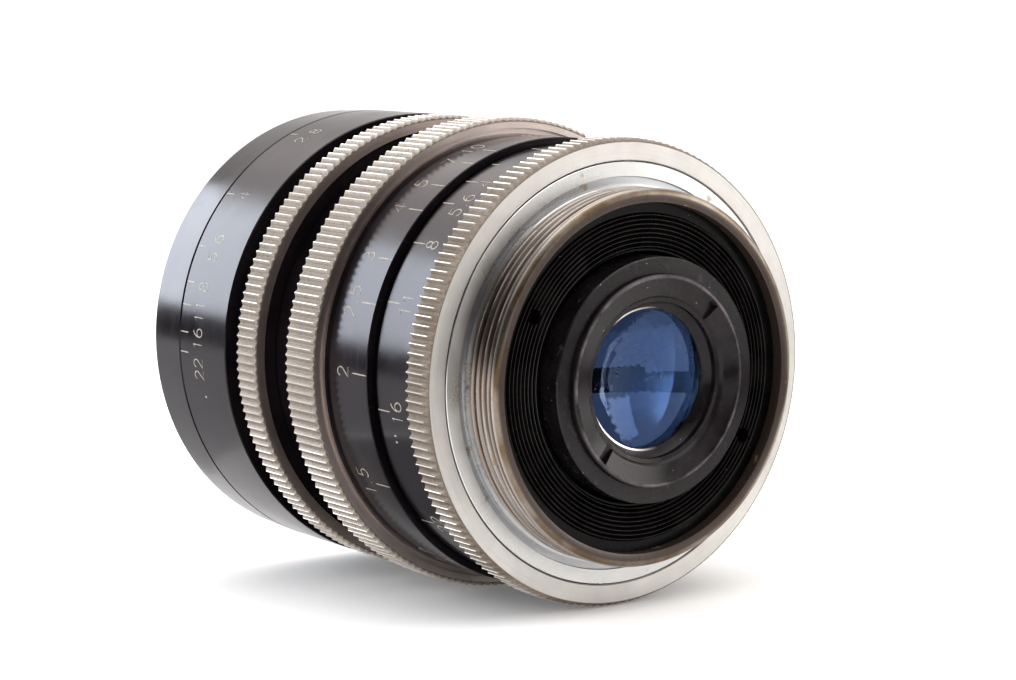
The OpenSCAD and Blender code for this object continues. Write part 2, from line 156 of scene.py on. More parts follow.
def knurled_ring(name, teeth, r, inner, rear, front, rear_cut, front_cut, seed):
    """Straight axial teeth; each cut is the (radial, axial) size of an end chamfer.

    inner lists the outline's points from the front end's bore to the rear end's bore."""
    chance = random.Random(seed)
    sections = []
    for tooth in range(teeth):
        crest = r - WEAR * chance.random() ** 2
        root = r - GROOVE_DEPTH - WEAR * chance.random()
        skew = LEAN * (chance.random() - 0.5)
        for share, height in TOOTH:
            local = root + (crest - root) * height
            rear_r = min(local, r - rear_cut[0])
            front_r = min(local, r - front_cut[0])
            outline = [
                (rear_r, rear),
                (local, rear + (local - rear_r) * rear_cut[1] / rear_cut[0]),
                (local, front - (local - front_r) * front_cut[1] / front_cut[0]),
                (front_r, front),
            ]
            angle = math.tau * (tooth + share + skew * height) / teeth
            sections.append((angle, outline + inner))
    return swept_ring(name, sections, 20)


def make_mount_ring():
    bore = flange_r + 0.1
    housing = 23.5
    inner = [(housing, mount_front), (housing, flange_front), (bore, flange_front),
             (bore, mount_rear + SMALL_CHAMFER), (bore + SMALL_CHAMFER, mount_rear)]
    ring = knurled_ring("mount_ring_knurled", MOUNT_TEETH, mount_r, inner, mount_rear,
                        mount_front, MOUNT_CHAMFER, (SMALL_CHAMFER, SMALL_CHAMFER), seed=11)
    return stand_in(ring, "mount_body", "grip_plating", "mount_ring")


def make_focus_grip():
    groove_r = distance_r + 0.65
    groove_floor = focus_rear + 0.55
    sleeve = 24.9
    chamfer = (0.3, 0.3)
    inner = [(sleeve, focus_front), (sleeve, focus_rear), (distance_r, focus_rear),
             (distance_r, groove_floor), (groove_r, groove_floor), (groove_r, focus_rear)]
    ring = knurled_ring("focus_grip_knurled", GRIP_TEETH, focus_r, inner, focus_rear,
                        focus_front, chamfer, chamfer, seed=12)
    return stand_in(ring, "focus_ring", "grip_plating", "focus_grip")


def make_aperture_grip():
    seat = 25.8
    chamfer = (0.28, 0.28)
    inner = [(seat, stop_front), (seat, stop_rear)]
    ring = knurled_ring("aperture_grip_knurled", GRIP_TEETH, stop_r, inner, stop_rear,
                        stop_front, chamfer, chamfer, seed=13)
    return stand_in(ring, "aperture_ring", "grip_plating", "aperture_grip")


# ---- Mount flange with its helical thread ----

THREAD_R = 21.0
THREAD_PITCH = 1.0
THREAD_DEPTH = 0.5
THREAD_STATIONS = 60
THREAD_END = -4.45
RUN_IN = 0.35  # lengths over which the thread deepens at its two ends
RUN_OUT = 0.2
RECESS_R = 22  # outer radius of the narrow recess around the thread


def thread_height(turns):
    """Height of the thread, from root (0) to crest (1), over one pitch."""
    steepness, offset = 2.6, 0.22  # a flat root in the middle and a narrow crest at the ends
    share = turns % 1
    rise = min(1, max(0, steepness * abs(share - 0.5) - offset))
    return rise * rise * (3 - 2 * rise)


def make_mount_flange():
    """The thread runs from THREAD_END to the flange face at y = 0, with the recess there."""
    bore = 19.5
    neck_r = THREAD_R + 0.3
    recess_floor = 0.25
    sections = []
    for i in range(STEPS):
        angle = math.tau * i / STEPS
        thread = []
        for j in range(THREAD_STATIONS + 1):
            y = THREAD_END + 0.02 - THREAD_END * j / THREAD_STATIONS * 0.99
            fade = min(1, (y - THREAD_END) / RUN_IN, max(0, -y / RUN_OUT))
            cut = THREAD_DEPTH * fade * (1 - thread_height(y / THREAD_PITCH - angle / math.tau))
            thread.append((THREAD_R - cut, y))
        outline = [(bore, flange_back + 0.12), (bore + 0.3, flange_back),
                   (THREAD_R - 0.7, flange_back), (THREAD_R - 0.2, flange_back + 0.22),
                   (THREAD_R, flange_back + 0.5)]
        outline += thread
        outline += [(neck_r, 0), (neck_r, recess_floor), (RECESS_R, recess_floor),
                    (RECESS_R + 0.06, 0), (flange_r - 0.08, 0), (flange_r, 0.08),
                    (flange_r, flange_front), (bore, flange_front)]
        sections.append((angle, outline))
    flange = swept_ring("mount_flange_threaded", sections, 35)
    return stand_in(flange, "mount_body", "mount_plating", "mount_flange")


# ---- Retaining ring of the rear glass ----

LIP_R = 11.35
RING_R = 11.8
BEZEL_R = 8.0
# In degrees: where the first slot is, half of its width, and the lean of its side walls
SLOT_CLOCK = -44
SLOT_HALF = 3.2
SLOT_WALL = 0.02


def make_rear_retaining_ring():
    """A dished ring with a raised lip and two spanner slots."""
    _, back, front = reach("rear_retaining_ring")
    seat_r, glass_r = 9.95, 7.8
    slot_floor = back + 0.9
    kept_clear = SLOT_HALF + 0.5
    lip = [(LIP_R, back), (RING_R - 0.18, back), (RING_R, back + 0.18), (RING_R, front)]
    seat = [(seat_r, front), (seat_r, -4.3), (glass_r, -4.3), (glass_r, -4.55)]
    bezel = [(BEZEL_R, -4.62), (8.7, -5.3), (8.7, -6.0), (9.15, -6.1), (9.4, -6.4)]
    dish = [(9.6, -6.52), (11.15, -6.78), (LIP_R - 0.02, back + 0.1)]
    outline = lip + seat + bezel + dish
    slotted = [(r, max(y, slot_floor)) if 9 < r < LIP_R else (r, y) for r, y in outline]
    sections = []
    for degrees in range(360):
        off = min(abs((degrees - SLOT_CLOCK - side + 180) % 360 - 180) for side in (0, 180))
        if off > kept_clear:
            sections.append((degrees, outline))
    for side in (0, 180):
        for edge in (-1, 1):
            middle = (SLOT_CLOCK + side + edge * SLOT_HALF) % 360
            sections.append((middle + edge * SLOT_WALL, outline))
            for share in (1, 0.6, 0.3):
                at = (SLOT_CLOCK + side + edge * SLOT_HALF * share) % 360
                sections.append((at - edge * SLOT_WALL, slotted))
    sections.sort(key=lambda section: section[0])
    turned = [(math.radians(degrees), section) for degrees, section in sections]
    ring = swept_ring("rear_retaining_ring_dished", turned, 25)
    return stand_in(ring, "optics_barrel", "grey_anodised", "rear_retaining_ring")


# ---- Cemented pair ----

CROWN_CURVE = 45  # radius of the rear face
CROWN_RINGS = 24


def make_doublet():
    """Crown and flint as one body, since light passes the cement between them unbent."""
    edge_r, rear, _ = reach("doublet_crown")
    front = reach("doublet_flint")[2]
    outline = []
    for i in range(CROWN_RINGS + 1):
        r = edge_r * i / CROWN_RINGS
        outline.append((r, rear + CROWN_CURVE - math.sqrt(CROWN_CURVE ** 2 - r ** 2)))
    outline += [(edge_r, front), (0, front)]
    pair = turned_solid("doublet_cemented", outline)
    return stand_in(pair, "optics_barrel", "coated_glass", "doublet_crown", "doublet_flint")


# ---- Engraved figures and marks ----

def arc(cx, cy, rx, ry, start, end, count=14):
    """Points of an elliptical arc, with angles in degrees."""
    turn = [math.radians(start + (end - start) * i / count) for i in range(count + 1)]
    return [(cx + rx * math.cos(a), cy + ry * math.sin(a)) for a in turn]


# Single strokes of each figure, in a box 0.6 wide and 1 high
FIGURES = {
    "0": [arc(0.3, 0.5, 0.28, 0.5, 90, 450, 24)],
    "1": [[(0.12, 0.8), (0.32, 1.0), (0.32, 0.0)]],
    "2": [arc(0.29, 0.71, 0.27, 0.29, 165, -35) + [(0.02, 0.0), (0.58, 0.0)]],
    "3": [arc(0.27, 0.75, 0.25, 0.25, 150, -90), arc(0.27, 0.26, 0.3, 0.26, 90, -150)],
    "4": [[(0.42, 0.0), (0.42, 1.0), (0.0, 0.3), (0.6, 0.3)]],
    "5": [[(0.54, 1.0), (0.12, 1.0), (0.07, 0.55)] + arc(0.27, 0.32, 0.3, 0.31, 125, -150)],
    "6": [arc(0.56, 0.36, 0.54, 0.64, 105, 180), arc(0.3, 0.3, 0.28, 0.3, 90, 450, 20)],
    "7": [[(0.02, 1.0), (0.56, 1.0), (0.2, 0.0)]],
    "8": [arc(0.3, 0.76, 0.22, 0.24, -90, 270, 18), arc(0.3, 0.27, 0.28, 0.27, 90, 450, 20)],
    ".": [[(0.1, 0.02), (0.12, 0.06)]],
    "infinity": [arc(0.27, 0.35, 0.25, 0.22, 0, 360, 20), arc(0.77, 0.35, 0.25, 0.22, 180, 540, 20)],
}
ADVANCE = {".": 0.25, "infinity": 1.1}
DIGIT_ADVANCE = 0.6
LETTER_GAP = 0.24
SQUEEZE = 0.86  # width of the figures against their height
STROKE_W = 0.15
STROKE_END = 0.45  # width of a stroke's ends against its middle
PROUD = 0.012
SUNK = 0.04


class Engraving:
    """Filled strokes on a ring, gathered into one mesh. surface(y) gives the ring's radius."""

    def __init__(self, name, surface):
        self.name = name
        self.surface = surface
        self.points = []
        self.faces = []

    def stroke(self, path, width=STROKE_W):
        """One stroke along (clock angle in degrees, y) points."""
        r = self.surface(path[0][1])
        flat = [Vector((-math.radians(a) * r, y)) for a, y in path]
        start = len(self.points)
        for i, here in enumerate(flat):
            ahead = (flat[min(i + 1, len(flat) - 1)] - flat[max(i - 1, 0)]).normalized()
            side = Vector((-ahead.y, ahead.x)) * width / 2
            end = -1 if i == 0 else 1 if i == len(flat) - 1 else 0
            here = here + ahead * width / 2 * end
            side = side * (STROKE_END if end else 1)
            for corner, lift in ((side, PROUD), (-side, PROUD), (-side, -SUNK), (side, -SUNK)):
                u, y = here + corner
                self.points.append(on_ring(-u / r, self.surface(y) + lift, y))
        for i in range(len(flat) - 1):
            a = start + 4 * i
            for j in range(4):
                k = (j + 1) % 4
                self.faces.append((a + j, a + k, a + 4 + k, a + 4 + j))
        last = len(self.points) - 4
        self.faces.append((start + 3, start + 2, start + 1, start))
        self.faces.append((last, last + 1, last + 2, last + 3))

    def tick(self, angle, y_from, y_to, width=STROKE_W):
        """A straight mark along the axis, in short steps that follow a sloping surface."""
        count = 8
        self.stroke([(angle, y_from + (y_to - y_from) * i / count) for i in range(count + 1)], width)

    def figures(self, words, angle, y, height):
        """Figures centred on a clock angle, with their feet at y and their tops to the front."""
        r = self.surface(y)
        widths = [ADVANCE.get(w, DIGIT_ADVANCE) for w in words]
        wide = height * SQUEEZE
        total = (sum(widths) + LETTER_GAP * (len(words) - 1)) * wide
        u = -total / 2
        for word, width in zip(words, widths):
            for line in FIGURES[word]:
                self.stroke([(angle - math.degrees((u + x * wide) / r), y + v * height)
                             for x, v in line])
            u += (width + LETTER_GAP) * wide

    def dot(self, angle, y, size):
        self.stroke([(angle, y - size / 4), (angle, y), (angle, y + size / 4)], size)

    def finish(self, body):
        obj = new_mesh(self.name, self.points, self.faces)
        return stand_in(obj, body, "black_lacquer")


def figures_of(number):
    """The keys of FIGURES that write a number."""
    return ["infinity"] if number == math.inf else list(f"{number:g}")


def make_aperture_figures():
    # For each stop, the clock angle of its tick and how far its figures stand past the tick
    marks = {2.8: (25, 0), 4: (49.1, 0), 5.6: (64.4, 0), 8: (73.9, 0.7), 11: (79.7, 1.3),
             16: (86.6, 1.2), 22: (91.7, 3.8)}
    drop = (scale_r - front_r) / (scale_front - scale_rear)
    lines = Engraving("aperture_figures", lambda y: scale_r - drop * (y - scale_rear))
    for stop, (angle, shift) in marks.items():
        lines.tick(angle, scale_front - 0.2, scale_front - 1.9)
        lines.figures(figures_of(stop), angle + shift, scale_front - 5.2, 2.0)
    lines.dot(102.5, scale_front - 5, 0.3)
    return lines.finish("aperture_ring")


def make_distance_figures():
    """The angle falls with the distance, as the helicoid's pitch and the focal length ask."""
    infinity_angle, turn_at_one_metre = 0.6, 176.5
    lines = Engraving("distance_figures", lambda y: distance_r)
    for metres in (1, 1.2, 1.5, 2, 2.5, 3, 4, 5, 7, 10, math.inf):
        angle = infinity_angle + turn_at_one_metre / metres
        lines.tick(angle, distance_rear + 0.15, distance_rear + 2.8)
        lines.figures(figures_of(metres), angle, distance_rear + 3.7, 2.1)
    return lines.finish("focus_ring")


def make_depth_figures():
    """A long index mark, each stop's mark on both sides of it, two short marks and two dots."""
    bevel = 0.35
    lines = Engraving("depth_figures", lambda y: min(depth_r, depth_r + depth_front - bevel - y))
    index, index_width = 9.2, 0.24
    degrees_per_stop, short_mark = 5.5, 13.1
    top = depth_front - 0.05
    lines.tick(index, top, depth_front - 4.2, index_width)
    for stop in (4, 5.6, 8, 11, 16, 22):
        for side in (-1, 1):
            angle = index + side * degrees_per_stop * stop
            lines.tick(angle, top, depth_front - 2.6)
            lines.figures(figures_of(stop), angle, depth_front - 4.95, 2.0)
    for side in (-1, 1):
        lines.tick(index + side * short_mark, top, depth_front - 1.9)
    for angle in (103.4, 105.1):
        lines.dot(angle, depth_front - 3, 0.28)
    return lines.finish("mount_body")


# ---- Materials ----

class Shader:
    """Builds one material's nodes. put() takes numbers, colours or the sockets of other nodes."""

    def __init__(self, name):
        self.material = bpy.data.materials.new(name)
        self.material.use_nodes = True
        self.tree = self.material.node_tree
        self.tree.nodes.clear()
        place = self.put("ShaderNodeTexCoord").outputs["Object"]
        self.place = self.vector_math("SCALE", place, scale=1 / MM)

    def put(self, kind, inputs=None, **settings):
        """One node, with its settings and then its inputs."""
        made = self.tree.nodes.new(kind)
        for key, value in settings.items():
            setattr(made, key, value)
        for key, value in (inputs or {}).items():
            socket = made.inputs[key]
            if isinstance(value, bpy.types.NodeSocket):
                self.tree.links.new(value, socket)
            else:
                socket.default_value = value
        return made

    def vector_math(self, operation, vector, other=None, scale=None):
        inputs = {0: vector}
        if other is not None:
            inputs[1] = other
        if scale is not None:
            inputs["Scale"] = scale
        made = self.put("ShaderNodeVectorMath", inputs, operation=operation)
        return made.outputs["Value" if operation == "LENGTH" else "Vector"]

    def calc(self, operation, a, b=0, clamp=False):
        """One step of arithmetic on plain numbers."""
        return self.put("ShaderNodeMath", {0: a, 1: b}, operation=operation,
                        use_clamp=clamp).outputs[0]

    def times(self, a, b):
        return self.calc("MULTIPLY", a, b)

    def radius(self):
        """Distance from the optical axis, in mm."""
        return self.vector_math("LENGTH", self.vector_math("MULTIPLY", self.place, (1, 0, 1)))

    def coordinate(self, axis):
        """Place along X, Y (the optical axis) or Z, in mm."""
        return self.put("ShaderNodeSeparateXYZ", {0: self.place}).outputs[axis]

    def noise(self, size, detail=3, roughness=0.55, vector=None):
        """Plain noise with features of about size mm."""
        return self.put("ShaderNodeTexNoise", {
            "Vector": vector or self.place, "Scale": 1 / size,
            "Detail": detail, "Roughness": roughness}).outputs["Fac"]

    def turning(self, pitch, length, detail=3):
        """Fine lines that run around the axis: pitch across them and length along them, in mm."""
        slow = self.vector_math("MULTIPLY", self.place, (1 / length, 1 / pitch, 1 / length))
        fast = self.times(self.radius(), 1 / pitch)
        across = self.put("ShaderNodeCombineXYZ", {"X": fast}).outputs[0]
        return self.noise(1, detail, 0.6, self.vector_math("ADD", slow, across))

    def axial(self, pitch, length):
        """Fine lines that run along the axis, with the same two sizes."""
        stretched = self.vector_math("MULTIPLY", self.place, (1 / pitch, 1 / length, 1 / pitch))
        return self.noise(1, 3, 0.6, stretched)

    def around_axis(self):
        """Tangent that runs around the optical axis, for turned metal."""
        return self.put("ShaderNodeTangent", direction_type="RADIAL", axis="Y").outputs[0]

    def ramp(self, value, low, high, out_low=0.0, out_high=1.0):
        """Change of range from low..high to out_low..out_high, held at its ends."""
        return self.put("ShaderNodeMapRange", {
            "Value": value, "From Min": low, "From Max": high,
            "To Min": out_low, "To Max": out_high}).outputs[0]

    def blend(self, share, a, b):
        """Colour a where share is 0, colour b where it is 1."""
        # The colour sockets of a mix node, after those for plain numbers and vectors
        return self.put("ShaderNodeMix", {0: share, 6: a, 7: b}, data_type="RGBA").outputs[2]

    def bump(self, height, depth, strength):
        """A bump of depth mm."""
        return self.put("ShaderNodeBump", {
            "Height": height, "Distance": depth * MM, "Strength": strength}).outputs[0]

    def specks(self, spacing, size):
        """Sparse round specks, 1 on a speck and 0 elsewhere; spacing and radius are in mm."""
        cells = self.put("ShaderNodeTexVoronoi", {"Vector": self.place, "Scale": 1 / spacing})
        keep = self.ramp(self.noise(spacing * 1.7, 1), 0.5, 0.56)
        near = self.ramp(cells.outputs["Distance"], size / spacing, size / spacing * 0.6)
        return self.times(near, keep)

    def surface(self, **inputs):
        """The finished surface; argument names stand for the shader's own socket names."""
        sockets = {key.replace("_", " ").title().replace("Ior", "IOR"): value
                   for key, value in inputs.items()}
        made = self.put("ShaderNodeBsdfPrincipled", sockets)
        out = self.put("ShaderNodeOutputMaterial")
        self.tree.links.new(made.outputs[0], out.inputs[0])
        return self.material


PAINT_DUST = (0.4, 0.37, 0.33, 1)
METAL_DUST = (0.5, 0.48, 0.46, 1)
RIB_CREST = -3.8  # y of the baffle ribs' crests
# Darker and lighter colour of the nickel, on the mount ring and on the two grips; the grips' pair is
# darker, as painted shade between the rings and as dirt
BRIGHT_FACE = (0.56, 0.545, 0.525, 1), (0.66, 0.645, 0.62, 1)
SHADED_AND_DIRTY_FACE = (0.46, 0.40, 0.38, 1), (0.58, 0.51, 0.48, 1)


def grey(value):
    return (value, value, value, 1)


def black_lacquer():
    """Semi-gloss black lacquer over turned metal, with hairlines, dust and a little wear."""
    s = Shader("black_lacquer")
    lines = s.turning(0.14, 30)
    smear = s.noise(7, 3)
    hair = s.ramp(s.turning(0.05, 9, 2), 0.68, 0.74)
    dust = s.specks(1.3, 0.05)
    colour = s.blend(s.ramp(smear, 0.35, 0.75), (0.007, 0.005, 0.007, 1), (0.014, 0.011, 0.013, 1))
    colour = s.blend(s.times(hair, 0.25), colour, (0.10, 0.095, 0.09, 1))
    colour = s.blend(s.times(dust, 0.5), colour, (0.35, 0.33, 0.30, 1))
    gloss = s.calc("ADD", s.ramp(smear, 0.3, 0.8, 0.15, 0.27), s.times(hair, 0.12))
    normal = s.bump(lines, 0.004, 0.6)
    return s.surface(base_color=colour, roughness=gloss, normal=normal, ior=1.43,
                     specular_tint=(0.97, 0.92, 1.0, 1))


def matt_black():
    """Matt anti-reflection black with faint paler turning marks and dust."""
    s = Shader("matt_black")
    lines = s.turning(0.12, 25)
    patch = s.noise(3, 3)
    dust = s.specks(1.0, 0.06)
    colour = s.blend(s.ramp(patch, 0.35, 0.7), (0.002, 0.002, 0.002, 1), (0.006, 0.005, 0.005, 1))
    colour = s.blend(s.times(s.ramp(lines, 0.62, 0.7), 0.3), colour, (0.03, 0.024, 0.02, 1))
    colour = s.blend(s.times(dust, 0.6), colour, PAINT_DUST)
    return s.surface(base_color=colour, roughness=s.ramp(patch, 0.3, 0.7, 0.17, 0.3),
                     normal=s.bump(lines, 0.004, 0.5), ior=1.4)


def ribbed_black():
    """Matt black with a painted highlight: grey paint along the sharp crests of the baffle ribs."""
    s = Shader("ribbed_black")
    lines = s.turning(0.12, 25)
    patch = s.noise(3, 3)
    dust = s.specks(1.0, 0.06)
    crest = s.ramp(s.coordinate("Y"), RIB_CREST + 0.09, RIB_CREST + 0.03)
    crest_highlight = s.times(crest, s.ramp(patch, 0.3, 0.7, 0.55, 1.0))
    colour = s.blend(s.ramp(patch, 0.35, 0.7), (0.002, 0.002, 0.002, 1), (0.005, 0.004, 0.004, 1))
    # Painted highlight along the rib crests
    colour = s.blend(crest_highlight, colour, (0.085, 0.078, 0.078, 1))
    colour = s.blend(s.times(dust, 0.6), colour, PAINT_DUST)
    return s.surface(base_color=colour, roughness=s.ramp(patch, 0.3, 0.7, 0.22, 0.34),
                     normal=s.bump(lines, 0.004, 0.5), ior=1.27)


def grip_plating(crest_r, name, face_low, face_high, grime):
    """Satin nickel on a knurled ring: brown dirt in the grooves, painted shade on the groove floors,
    and a pale crest line of worn metal with a painted highlight.

    crest_r is the radius over the teeth, and grime is the share of dirt that colours them."""
    s = Shader(name)
    radius = s.radius()
    grain = s.axial(0.05, 1.2)
    patch = s.noise(5, 4)
    speckle = s.noise(0.22, 3)
    in_teeth = s.ramp(radius, crest_r - 0.56, crest_r - 0.48)
    groove_floor = s.times(in_teeth, s.ramp(radius, crest_r - 0.2, crest_r - 0.42))
    deep = s.times(in_teeth, s.ramp(radius, crest_r - 0.03, crest_r - 0.12))
    dirt = s.times(deep, s.ramp(patch, 0.3, 0.7, 0.5, 1.0))
    worn_crest_and_highlight = s.ramp(radius, crest_r - 0.05, crest_r - 0.015)
    lines = s.turning(0.12, 8)
    colour = s.blend(s.ramp(patch, 0.3, 0.7), face_low, face_high)
    colour = s.blend(s.times(s.ramp(lines, 0.5, 0.75), 0.3), colour, (0.33, 0.30, 0.27, 1))
    colour = s.blend(s.times(deep, 0.9), colour, (0.53, 0.48, 0.43, 1))
    colour = s.blend(s.times(dirt, grime), colour, (0.20, 0.155, 0.115, 1))
    # Painted shade on the groove floors
    colour = s.blend(s.times(groove_floor, 0.55), colour, (0.14, 0.11, 0.08, 1))
    colour = s.blend(s.times(dirt, s.ramp(speckle, 0.47, 0.66, 0.0, 0.8)), colour,
                     (0.11, 0.08, 0.055, 1))
    # Pale crest line: worn metal and a painted highlight
    colour = s.blend(s.times(worn_crest_and_highlight, 0.55), colour, (0.74, 0.71, 0.66, 1))
    metal = s.ramp(deep, 0.0, 1.0, 1.0, 0.3)
    gloss = s.ramp(deep, 0.0, 1.0, 0.38, 0.62)
    return s.surface(base_color=colour, metallic=metal, roughness=gloss,
                     normal=s.bump(s.calc("ADD", grain, s.calc("ADD", speckle, lines)), 0.012, 0.8))


def mount_plating():
    """Satin nickel flange, worn to brown brass on the thread and at the rear edge, with painted shade
    in the recess around the thread.
    """
    s = Shader("mount_plating")
    radius = s.radius()
    lines = s.turning(0.10, 14)
    patch = s.noise(4, 4)
    scratch = s.ramp(s.turning(0.04, 5, 2), 0.66, 0.72)
    stain = s.ramp(s.noise(2.2, 2), 0.66, 0.72)
    streak = s.turning(0.22, 16, 2)
    behind = s.ramp(s.coordinate("Y"), -0.05, -0.25)
    on_thread = s.times(behind, s.ramp(s.coordinate("Y"), THREAD_END - 0.25, THREAD_END + 0.05))
    worn = s.times(on_thread, s.ramp(radius, THREAD_R, THREAD_R - 0.3, 0.6, 1.0))
    edge = s.ramp(radius, THREAD_R - 0.55, THREAD_R - 0.8)
    recess = s.times(s.ramp(radius, THREAD_R + 0.15, THREAD_R + 0.25),
                     s.ramp(radius, RECESS_R + 0.1, RECESS_R + 0.05))
    end_face = s.ramp(s.coordinate("Y"), THREAD_END + 0.05, THREAD_END - 0.25)
    colour = s.blend(s.ramp(patch, 0.3, 0.7), (0.62, 0.62, 0.61, 1), (0.72, 0.72, 0.71, 1))
    colour = s.blend(s.times(scratch, 0.35), colour, (0.35, 0.33, 0.30, 1))
    # Painted shade, blue-grey, in the recess beside the thread
    colour = s.blend(s.times(recess, 0.5), colour, (0.34, 0.36, 0.40, 1))
    colour = s.blend(s.times(worn, s.ramp(streak, 0.35, 0.6, 0.7, 1)), colour,
                     (0.105, 0.056, 0.028, 1))
    colour = s.blend(s.times(end_face, s.ramp(s.noise(5), 0.4, 0.6, 0.8, 1.0)), colour,
                     (0.16, 0.115, 0.075, 1))
    colour = s.blend(s.times(edge, 0.95), colour, (0.055, 0.038, 0.032, 1))
    colour = s.blend(s.times(stain, 0.6), colour, (0.30, 0.21, 0.12, 1))
    gloss = s.ramp(patch, 0.3, 0.7, 0.24, 0.34)
    return s.surface(base_color=colour, metallic=s.ramp(edge, 0, 1, 0.95, 0.2), roughness=gloss,
                     anisotropic=0.85, anisotropic_rotation=0.25, tangent=s.around_axis(),
                     normal=s.bump(lines, 0.003, 0.6))


def grey_anodised():
    """Dark grey anodised cell: turned, with paler worn marks."""
    s = Shader("grey_anodised")
    lines = s.turning(0.09, 12)
    patch = s.noise(3, 4)
    pale_patches = s.ramp(s.noise(1.1, 4), 0.62, 0.72)
    colour = s.blend(s.ramp(patch, 0.3, 0.7), (0.006, 0.005, 0.006, 1), (0.015, 0.012, 0.013, 1))
    colour = s.blend(s.times(pale_patches, 0.3), colour, (0.10, 0.09, 0.09, 1))
    colour = s.blend(s.times(s.specks(1.1, 0.07), 0.8), colour, METAL_DUST)
    return s.surface(base_color=colour, roughness=s.ramp(patch, 0.3, 0.7, 0.2, 0.32),
                     anisotropic=0.7, anisotropic_rotation=0.25, tangent=s.around_axis(),
                     normal=s.bump(lines, 0.004, 0.6), ior=1.42)


def ring_black():
    """Black anodised ring, paler in patches along its lip, with a painted highlight on the left of
    the rim around the glass.
    """
    s = Shader("ring_black")
    lines = s.turning(0.08, 10)
    patch = s.noise(2.5, 4)
    pale_patches = s.ramp(s.noise(3, 3), 0.35, 0.65)
    left = s.ramp(s.coordinate("X"), 1.5, -3.5)
    radius = s.radius()
    lip = s.times(s.ramp(radius, LIP_R - 0.1, LIP_R + 0.05),
                  s.ramp(radius, RING_R - 0.05, RING_R - 0.2))
    # Painted highlight: bright metal on the left of the rim around the glass
    bezel = s.times(s.ramp(radius, BEZEL_R + 0.04, BEZEL_R - 0.02), left)
    colour = s.blend(s.ramp(patch, 0.3, 0.7), (0.008, 0.006, 0.007, 1), (0.020, 0.016, 0.018, 1))
    # Paler in patches along the lip
    colour = s.blend(s.times(lip, s.times(pale_patches, 0.5)), colour, (0.25, 0.22, 0.24, 1))
    colour = s.blend(s.times(s.specks(1.1, 0.07), 0.8), colour, METAL_DUST)
    colour = s.blend(bezel, colour, (0.85, 0.80, 0.74, 1))
    return s.surface(base_color=colour, metallic=bezel, roughness=s.ramp(patch, 0.3, 0.7, 0.2, 0.3),
                     anisotropic=0.7, anisotropic_rotation=0.25, tangent=s.around_axis(),
                     normal=s.bump(lines, 0.004, 0.6), ior=1.38)


def plain_metal(name, low, high, roughness, blackened_r=None):
    """Turned plain metal with greasy patches, painted black outside the radius if one is given."""
    s = Shader(name)
    lines = s.turning(0.1, 10)
    patch = s.noise(4, 4)
    colour = s.blend(s.ramp(patch, 0.3, 0.7), low, high)
    metal = 1.0
    if blackened_r:
        black = s.ramp(s.radius(), blackened_r - 0.05, blackened_r)
        colour = s.blend(black, colour, (0.008, 0.007, 0.007, 1))
        metal = s.ramp(black, 0, 1, 1, 0)
    return s.surface(base_color=colour, metallic=metal,
                     roughness=s.ramp(lines, 0.3, 0.7, roughness, roughness + 0.15),
                     normal=s.bump(lines, 0.005, 0.7))


def coated_glass():
    """Rear glass: blue anti-reflection coating, a little dust and a few hair scratches."""
    s = Shader("coated_glass")
    dust = s.specks(0.8, 0.035)
    crossing = s.calc("ABSOLUTE", s.calc("SUBTRACT", s.noise(2.4, 1), 0.5))
    hair = s.times(s.ramp(crossing, 0.006, 0.002), s.ramp(s.noise(1.6, 1), 0.63, 0.67))
    haze = s.ramp(s.noise(3, 4), 0.4, 0.8, 0.0, 0.02)
    marks = s.calc("MAXIMUM", dust, s.times(hair, 0.35), clamp=True)
    colour = s.blend(marks, (0.82, 0.90, 0.98, 1), (0.8, 0.82, 0.85, 1))
    return s.surface(base_color=colour, roughness=haze, ior=1.75,
                     transmission_weight=s.ramp(marks, 0, 1, 1.0, 0.3),
                     specular_tint=(0.25, 0.44, 1.0, 1), specular_ior_level=0.58)


def inner_glass():
    """The other glass: clean, with a weaker coating, so that the iris shows through it."""
    s = Shader("inner_glass")
    patch = s.noise(3, 4)
    colour = s.blend(s.ramp(patch, 0.3, 0.7), (0.60, 0.70, 0.90, 1), (0.64, 0.73, 0.91, 1))
    return s.surface(base_color=colour, roughness=s.ramp(patch, 0.4, 0.8, 0.0, 0.012), ior=1.75,
                     transmission_weight=1.0, specular_tint=(0.40, 0.50, 1.0, 1),
                     specular_ior_level=0.22)


def engraving_paint():
    """Cream paint in the engraving, dull and patchy."""
    s = Shader("engraving_paint")
    patch = s.noise(0.35, 4)
    colour = s.blend(s.ramp(patch, 0.35, 0.68), (0.44, 0.40, 0.33, 1), (0.20, 0.18, 0.15, 1))
    return s.surface(base_color=colour, roughness=0.55, normal=s.bump(patch, 0.01, 0.8))


def studio_white():
    """Pale paper for the floor, with a slight glow that keeps it near white."""
    s = Shader("studio_white")
    fibre = s.noise(6, 4)
    colour = s.blend(s.ramp(fibre, 0.3, 0.7), (0.88, 0.875, 0.872, 1), (0.895, 0.89, 0.888, 1))
    return s.surface(base_color=colour, roughness=0.75, specular_ior_level=0.2,
                     emission_color=(1, 0.985, 0.98, 1), emission_strength=0.1)


def dress(obj, material):
    obj.data.materials.clear()
    obj.data.materials.append(material)


